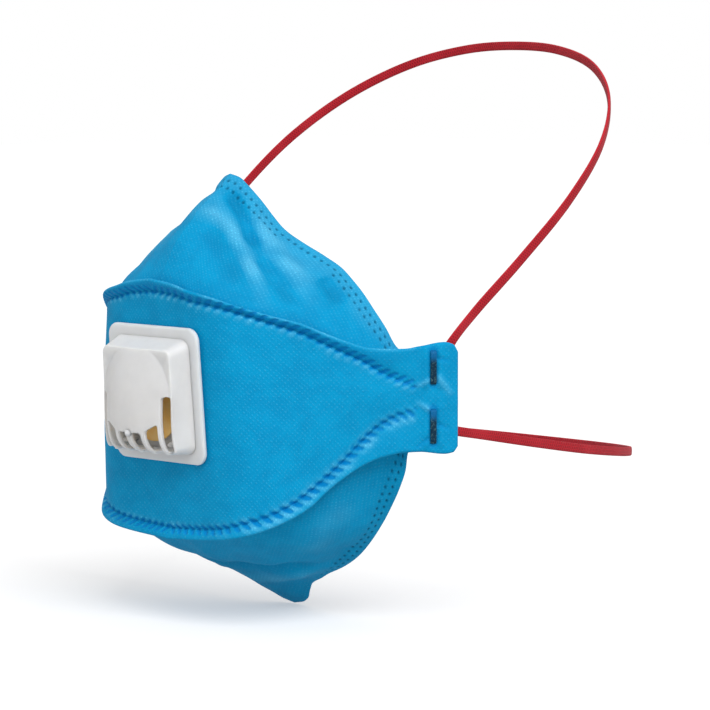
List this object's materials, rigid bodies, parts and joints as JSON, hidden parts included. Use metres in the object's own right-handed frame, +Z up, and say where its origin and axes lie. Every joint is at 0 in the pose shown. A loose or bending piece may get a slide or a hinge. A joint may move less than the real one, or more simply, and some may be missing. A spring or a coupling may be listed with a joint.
{
  "type": "valved respirator mask",
  "caption": "Folding filter mask opened as worn: three fabric panels, side tabs, square exhalation valve and elastic head straps.",
  "frame": {"origin": "middle of the face opening, where the wearer's face meets the mask", "axes": "+Z up, the valve at the front towards -Y, the wearer's left towards +X"},
  "size_m": [0.1524, 0.1986, 0.1822],
  "materials": {
    "blue_nonwoven": "matt point-bonded nonwoven",
    "white_plastic": "satin moulded",
    "orange_rubber": "smooth",
    "red_elastic": "fine woven elastic",
    "staple_steel": "plain wire"
  },
  "bodies": {
    "root": {"centre_panel": "blue_nonwoven", "top_panel": "blue_nonwoven", "bottom_panel": "blue_nonwoven", "valve_base": "white_plastic", "valve_flap": "orange_rubber", "valve_cover": "white_plastic", "upper_strap": "red_elastic", "lower_strap": "red_elastic", "left_upper_staple": "staple_steel", "left_lower_staple": "staple_steel", "right_upper_staple": "staple_steel", "right_lower_staple": "staple_steel"}
  },
  "joints": []
}
